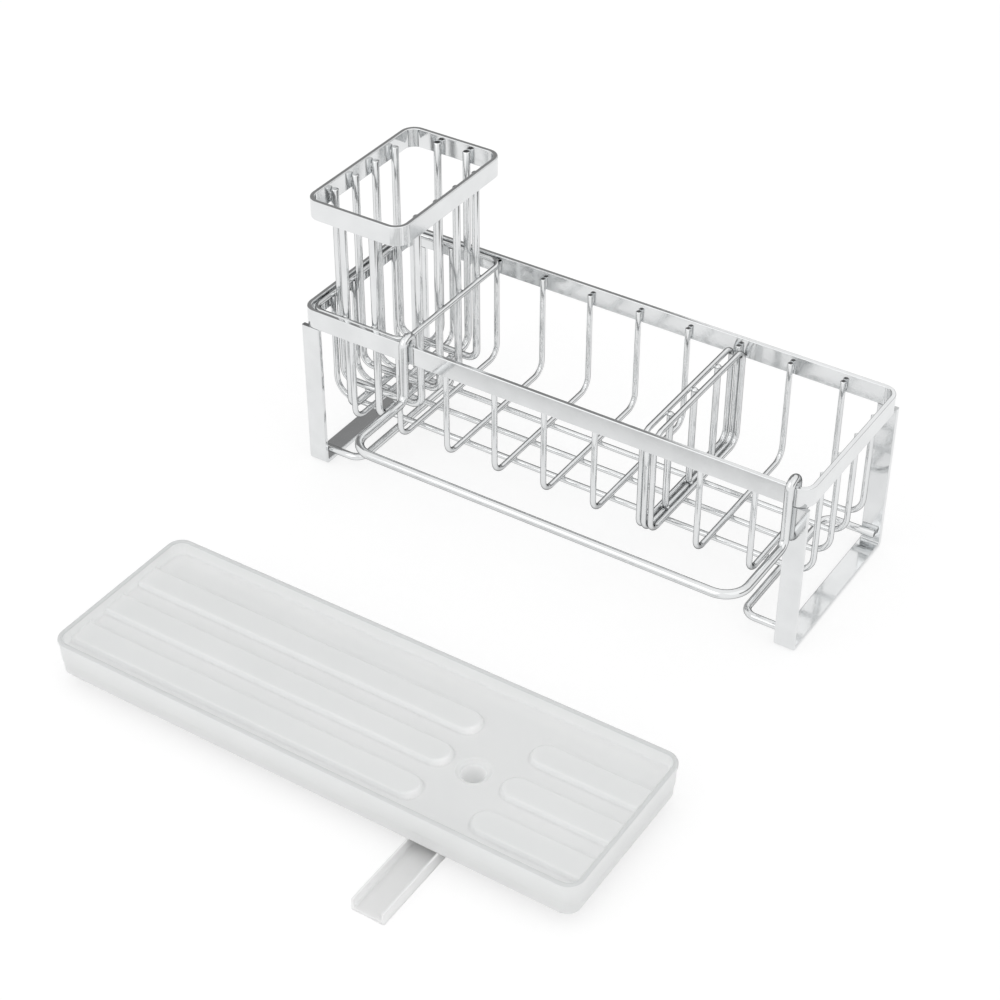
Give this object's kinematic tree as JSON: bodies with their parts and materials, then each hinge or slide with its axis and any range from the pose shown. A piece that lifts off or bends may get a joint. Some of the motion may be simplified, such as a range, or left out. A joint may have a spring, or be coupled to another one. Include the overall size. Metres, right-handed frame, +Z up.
{
  "type": "kitchen sink caddy",
  "caption": "Chrome wire sink rack with a tall lift-out utensil holder, a lift-out divider, a hook-on towel bar and a frosted drip tray with a swivelling drain spout.",
  "frame": {"origin": "middle of the whole set's footprint, on the worktop", "axes": "+X along the rack to the right, +Y from the tray in front to the rack behind, +Z up"},
  "size_m": [0.3536, 0.418, 0.193],
  "materials": {
    "chrome": "polished chrome plate",
    "tray_plastic": "frosted translucent",
    "spout_plastic": "frosted translucent"
  },
  "bodies": {
    "rack": {"basket_rim": "chrome", "left_leg": "chrome", "right_leg": "chrome", "left_tray_rail": "chrome", "right_tray_rail": "chrome", "cross_wire_1": "chrome", "cross_wire_2": "chrome", "cross_wire_3": "chrome", "cross_wire_4": "chrome", "cross_wire_5": "chrome", "cross_wire_6": "chrome", "cross_wire_7": "chrome", "cross_wire_8": "chrome", "cross_wire_9": "chrome", "floor_wire_1": "chrome", "floor_wire_2": "chrome", "floor_wire_3": "chrome", "floor_wire_4": "chrome"},
    "utensil_holder": {"utensil_band": "chrome", "utensil_ring": "chrome", "utensil_side_wire_1": "chrome", "utensil_side_wire_2": "chrome", "utensil_side_wire_3": "chrome", "utensil_side_wire_4": "chrome", "utensil_end_wire_1": "chrome", "utensil_end_wire_2": "chrome"},
    "divider": {"divider_frame_left": "chrome", "divider_frame_right": "chrome", "divider_bar_1": "chrome", "divider_bar_2": "chrome", "divider_bar_3": "chrome"},
    "towel_bar": {"towel_bar": "chrome"},
    "drip_tray": {"drip_tray": "tray_plastic"},
    "drain_spout": {"drain_spout": "spout_plastic"}
  },
  "joints": [
    {"name": "utensil_lift", "type": "slide", "parent": "rack", "child": "utensil_holder", "axis": [0, 0, 1], "range_m": [0, 0.08]},
    {"name": "divider_lift", "type": "slide", "parent": "rack", "child": "divider", "axis": [0, 0, 1], "range_m": [0, 0.08]},
    {"name": "towel_bar_lift", "type": "slide", "parent": "rack", "child": "towel_bar", "axis": [0, 0, 1], "range_m": [0, 0.015]},
    {"name": "tray_slide", "type": "slide", "parent": "rack", "child": "drip_tray", "axis": [1, 0, 0], "range_m": [-0.35, 0.35]},
    {"name": "spout_swivel", "type": "hinge", "parent": "drip_tray", "child": "drain_spout", "pos_m": [0.0832, -0.111, 0.012], "axis": [0, 0, 1], "range_deg": [-90, 90]}
  ]
}
